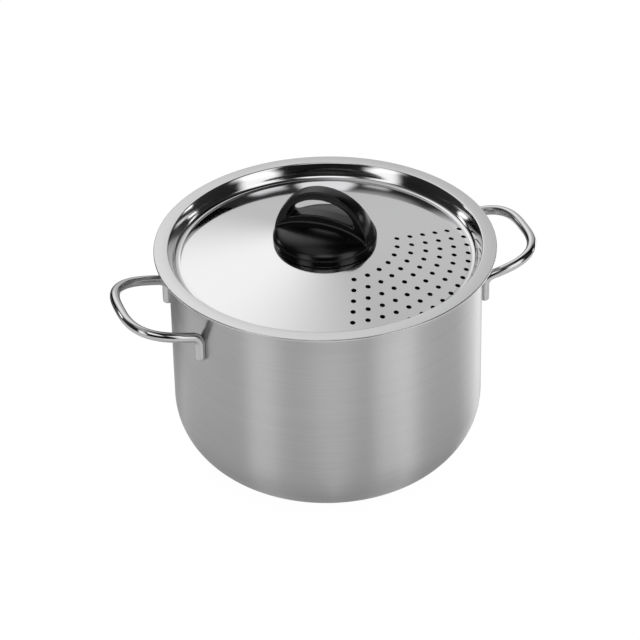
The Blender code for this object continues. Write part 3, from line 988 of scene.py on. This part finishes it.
skyLook = {
    "axis": (180.0, 32.0),  # azimuth and elevation of the pale backdrop's middle
    "stops": (  # closeness to that axis from 0 opposite to 1 on it, brightness
        (0.30, 0.012),
        (0.60, 0.03),
        (0.80, 0.05),
        (0.89, 0.12),
        (0.93, 0.55),
        (0.97, 0.74),
        (1.0, 0.78),
    ),
    "glows": {  # azimuth, elevation, reach and brightness of round soft lights
        "farLeft": (-152.0, 40.0, 31.0, 0.62),
        "zenith": (-90.0, 76.0, 25.0, 0.6),
    },
    "boxes": {  # azimuth, elevation, half width, half height, softness of the edge, brightness
        "right": (47.0, 13.0, 14.0, 9.0, 5.0, 1.45),
        "rightTop": (53.0, 39.0, 15.0, 17.0, 6.0, 1.4),
        "left": (-43.0, 15.0, 11.0, 11.0, 5.0, 1.45),
        "leftTop": (-49.0, 39.0, 10.0, 13.0, 6.0, 1.2),
        "top": (-2.0, 60.0, 26.0, 12.0, 6.0, 1.6),
        "sideRight": (111.0, 11.5, 4.5, 3.0, 2.0, 2.6),
        "sideLeft": (-119.5, 13.0, 4.5, 5.0, 2.0, 2.8),
        "darkSide": (-136.0, 7.0, 9.0, 11.0, 4.0, -0.4),
        "darkTop": (158.0, 69.0, 22.0, 8.0, 3.0, -0.5),
        "darkCorner": (126.0, 56.0, 20.0, 18.0, 5.0, -0.6),
    },
}


def makeWorld(values, turnDeg):
    # Dark on the camera's side, with a pale backdrop beyond the pot, soft lights and dark
    # patches; the camera itself sees plain white.
    world = bpy.data.worlds.new("studio")
    bpy.context.scene.world = world
    world.use_nodes = True
    tree = world.node_tree
    tree.nodes.clear()
    outward = addNode(tree, "ShaderNodeTexCoord").outputs["Generated"]
    turn = {"Vector": outward, "Angle": -math.radians(turnDeg)}
    direction = addNode(
        tree, "ShaderNodeVectorRotate", turn, rotation_type="Z_AXIS"
    ).outputs[0]
    axes = addNode(tree, "ShaderNodeSeparateXYZ", {0: direction}).outputs
    away = addNode(tree, "ShaderNodeMath", {0: axes["Y"], 1: -1.0}, operation="MULTIPLY").outputs[0]
    plan = {0: axes["X"], 1: away}
    azimuth = addNode(tree, "ShaderNodeMath", plan, operation="ARCTAN2").outputs[0]
    elevation = addNode(tree, "ShaderNodeMath", {0: axes["Z"]}, operation="ARCSINE").outputs[0]

    pair = {0: direction, 1: skyDirection(*values["axis"])}
    near = addNode(tree, "ShaderNodeVectorMath", pair, operation="DOT_PRODUCT").outputs["Value"]
    whole = {0: near, 1: -1.0, 2: 1.0, 3: 0.0, 4: 1.0}
    close = addNode(tree, "ShaderNodeMapRange", whole).outputs[0]
    ramp = addNode(tree, "ShaderNodeValToRGB", {0: close})
    setStops(ramp, values["stops"])
    level = ramp.outputs[0]
    for at, up, reach, bright in values["glows"].values():
        glow = softSpot(tree, direction, skyDirection(at, up), 0.0, reach, bright)
        level = addNode(tree, "ShaderNodeMath", {0: level, 1: glow}, operation="ADD").outputs[0]
    for at, up, halfWidth, halfHeight, soft, bright in values["boxes"].values():
        box = bright
        for angle, middle, half in ((azimuth, at, halfWidth), (elevation, up, halfHeight)):
            gap = {0: angle, 1: math.radians(middle)}
            off = addNode(tree, "ShaderNodeMath", gap, operation="SUBTRACT").outputs[0]
            near = addNode(tree, "ShaderNodeMath", {0: off}, operation="COSINE").outputs[0]
            side = {0: near, **softEnds(half, soft), 3: 0.0, 4: 1.0}
            edge = addNode(tree, "ShaderNodeMapRange", side, interpolation_type="SMOOTHSTEP")
            part = {0: edge.outputs[0], 1: box}
            box = addNode(tree, "ShaderNodeMath", part, operation="MULTIPLY").outputs[0]
        level = addNode(tree, "ShaderNodeMath", {0: level, 1: box}, operation="ADD").outputs[0]
    level = addNode(tree, "ShaderNodeMath", {0: level, 1: 0.0}, operation="MAXIMUM").outputs[0]

    seen = addNode(tree, "ShaderNodeBackground", {"Color": (1, 1, 1, 1), "Strength": 1.0})
    around = addNode(tree, "ShaderNodeBackground", {"Color": level, "Strength": 1.0})
    view = addNode(tree, "ShaderNodeLightPath").outputs["Is Camera Ray"]
    both = {0: view, 1: around.outputs[0], 2: seen.outputs[0]}
    mixed = addNode(tree, "ShaderNodeMixShader", both)
    addNode(tree, "ShaderNodeOutputWorld", {"Surface": mixed.outputs[0]})
    print("made the world")


cameraView = {
    "turnDeg": -19.0,  # where the camera stands round the pot
    "distance": 1.9929,
    "height": 1.4493,
    "pitchDeg": 33.8,
    "yawDeg": -0.147,
    "rollDeg": -1.172,
    "lens": 172.65,
    "sensorWidth": 36.0,
}


def placeCamera(values):
    pitch, yaw, roll = (math.radians(values[key]) for key in ("pitchDeg", "yawDeg", "rollDeg"))
    level = math.cos(pitch)
    forward = Vector((math.sin(yaw) * level, math.cos(yaw) * level, -math.sin(pitch)))
    right = Vector((math.cos(yaw), -math.sin(yaw), 0.0))
    up = right.cross(forward)
    across = math.cos(roll) * right + math.sin(roll) * up
    upright = math.cos(roll) * up - math.sin(roll) * right
    view = Matrix((across, upright, -forward)).transposed().to_4x4()
    view.translation = (0.0, -values["distance"], values["height"])
    deselectAll()
    bpy.ops.object.camera_add()
    camera = bpy.context.object
    camera.name = "photoCamera"
    camera.data.lens = values["lens"]
    camera.data.sensor_width = values["sensorWidth"]
    camera.matrix_world = Matrix.Rotation(math.radians(values["turnDeg"]), 4, "Z") @ view
    bpy.context.scene.camera = camera
    print("placed the camera")


bpy.context.scene.view_settings.view_transform = "Standard"

shell = makePotShell(potSizes)
paint(shell, steelShell(shellFinish))
finishPiece(shell, "pot", "pot_body")

cap = makeBaseCap(potSizes)
paint(cap, capSteel(capFinish))
finishPiece(cap, "pot", "base_cap")

polished = steelRod(rodFinish)
for name, side, node in (("leftRod", -1, "handle_left"), ("rightRod", 1, "handle_right")):
    rod = makeHandle(name, side, handleSizes, potSizes["wallRadius"])
    paint(rod, polished)
    finishPiece(rod, "pot", node, handleSizes["smoothDeg"])

lid = makeLid(lidSizes)
paint(lid, steelLid(lidFinish))
finishPiece(lid, "lid", "lid_shell")

knob = makeKnob(knobSizes)
paint(knob, knobPlastic(knobFinish))
finishPiece(knob, "lid", "knob", knobSizes["smoothDeg"])

zinc = fixingZinc(zincFinish)
washer = makeWasher(fixingSizes)
paint(washer, zinc)
finishPiece(washer, "lid", "knob_washer")
screw = makeScrew(fixingSizes)
paint(screw, zinc)
finishPiece(screw, "lid", "knob_screw")

paint(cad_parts["base_core"], coreAluminium(coreFinish))
paint(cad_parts["knob_insert"], insertBrass(brassFinish))
print("painted the core and the insert")

makeFloor(floorLook, cameraView["turnDeg"])
makeWorld(skyLook, cameraView["turnDeg"])
placeCamera(cameraView)
